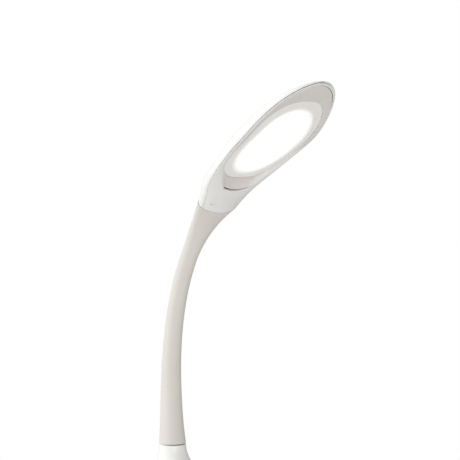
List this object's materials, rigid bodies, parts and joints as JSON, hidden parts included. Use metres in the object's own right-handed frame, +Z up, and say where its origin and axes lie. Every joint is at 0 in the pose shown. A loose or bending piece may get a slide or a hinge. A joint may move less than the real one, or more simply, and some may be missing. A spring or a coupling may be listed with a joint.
{
  "type": "clip-on reading lamp",
  "caption": "Spring-clip reading lamp: a gooseneck in a tapered silicone sleeve carries a long oval head with a glowing diffuser underneath.",
  "frame": {"origin": "middle of the upper jaw pad's flat face, which rests on the shelf or board that the lamp clips to", "axes": "+X towards the head's tip and out of the jaws' mouth, +Y to the left seen from behind the clip, +Z up"},
  "size_m": [0.2495, 0.078, 0.4077],
  "materials": {
    "gloss_white": "gloss",
    "satin_white": "satin",
    "bezel_grey": "satin, slightly warm grey",
    "opal": "milky, glowing when lit",
    "silicone": "matte silicone",
    "pad_rubber": "matte",
    "steel": "satin",
    "spring_steel": "satin",
    "aluminium": "satin",
    "board_white": "solder mask",
    "board_green": "solder mask",
    "cell_blue": "foil pouch",
    "wire_red": "insulation"
  },
  "bodies": {
    "clip": {"upper_housing": "gloss_white", "housing_floor": "satin_white", "floor_screw_1": "steel", "floor_screw_2": "steel", "floor_screw_3": "steel", "floor_screw_4": "steel", "upper_pad": "pad_rubber", "battery_cell": "cell_blue", "control_board": "board_green", "charging_socket": "steel", "indicator_lens": "opal", "hinge_pin": "steel", "torsion_spring": "spring_steel", "neck_sleeve_0": "silicone", "neck_core_0": "steel", "neck_wire_0": "wire_red", "lower_ferrule": "steel", "ferrule_nut": "steel"},
    "jaw": {"lower_jaw": "gloss_white", "lower_pad": "pad_rubber"},
    "button": {"power_button": "satin_white"},
    "neck_1": {"neck_sleeve_1": "silicone", "neck_core_1": "steel", "neck_wire_1": "wire_red"},
    "neck_2": {"neck_sleeve_2": "silicone", "neck_core_2": "steel", "neck_wire_2": "wire_red"},
    "neck_3": {"neck_sleeve_3": "silicone", "neck_core_3": "steel", "neck_wire_3": "wire_red"},
    "neck_4": {"neck_sleeve_4": "silicone", "neck_core_4": "steel", "neck_wire_4": "wire_red"},
    "neck_5": {"neck_sleeve_5": "silicone", "neck_core_5": "steel", "neck_wire_5": "wire_red"},
    "neck_6": {"neck_sleeve_6": "silicone", "neck_core_6": "steel", "neck_wire_6": "wire_red"},
    "neck_7": {"neck_sleeve_7": "silicone", "neck_core_7": "steel", "neck_wire_7": "wire_red"},
    "head": {"neck_sleeve_8": "silicone", "neck_core_8": "steel", "neck_wire_8": "wire_red", "upper_ferrule": "steel", "neck_clamp": "aluminium", "top_shell": "gloss_white", "underside_cover": "satin_white", "bezel": "bezel_grey", "diffuser": "opal", "reflector_tray": "satin_white", "led_board": "board_white", "heat_spreader": "aluminium", "head_screw_1": "steel", "head_screw_2": "steel", "screw_cap_1": "satin_white", "screw_cap_2": "satin_white"}
  },
  "joints": [
    {"name": "neck_bend_1", "type": "hinge", "parent": "clip", "child": "neck_1", "pos_m": [-0.04287, 0, 0.07479], "axis": [0, 1, 0], "range_deg": [-18, 16]},
    {"name": "neck_side_1", "type": "hinge", "parent": "neck_1", "child": "neck_2", "pos_m": [-0.04391, 0, 0.10439], "axis": [1, 0, 0.0051], "range_deg": [-16, 16]},
    {"name": "neck_bend_2", "type": "hinge", "parent": "neck_2", "child": "neck_3", "pos_m": [-0.04317, 0, 0.134], "axis": [0, 1, 0], "range_deg": [-18, 16]},
    {"name": "neck_side_2", "type": "hinge", "parent": "neck_3", "child": "neck_4", "pos_m": [-0.03973, 0, 0.16341], "axis": [0.9846, 0, -0.1751], "range_deg": [-16, 16]},
    {"name": "neck_bend_3", "type": "hinge", "parent": "neck_4", "child": "neck_5", "pos_m": [-0.03282, 0, 0.1922], "axis": [0, 1, 0], "range_deg": [-18, 16]},
    {"name": "neck_side_3", "type": "hinge", "parent": "neck_5", "child": "neck_6", "pos_m": [-0.02179, 0, 0.21966], "axis": [0.8926, 0, -0.4508], "range_deg": [-16, 16]},
    {"name": "neck_bend_4", "type": "hinge", "parent": "neck_6", "child": "neck_7", "pos_m": [-0.00624, 0, 0.24483], "axis": [0, 1, 0], "range_deg": [-18, 16]},
    {"name": "neck_side_4", "type": "hinge", "parent": "neck_7", "child": "head", "pos_m": [0.01391, 0, 0.26647], "axis": [0.6744, 0, -0.7383], "range_deg": [-16, 16]},
    {"name": "jaw_hinge", "type": "hinge", "parent": "clip", "child": "jaw", "pos_m": [-0.05, 0, -0.0032], "axis": [0, 1, 0], "range_deg": [0, 34], "stiffness_Nm_per_rad": 1, "springref_deg": -40.11, "deforming": ["torsion_spring"]},
    {"name": "button_press", "type": "slide", "parent": "clip", "child": "button", "axis": [0, 0, -1], "range_m": [0, 0.0008], "stiffness_N_per_m": 150, "springref_m": -0.002}
  ]
}
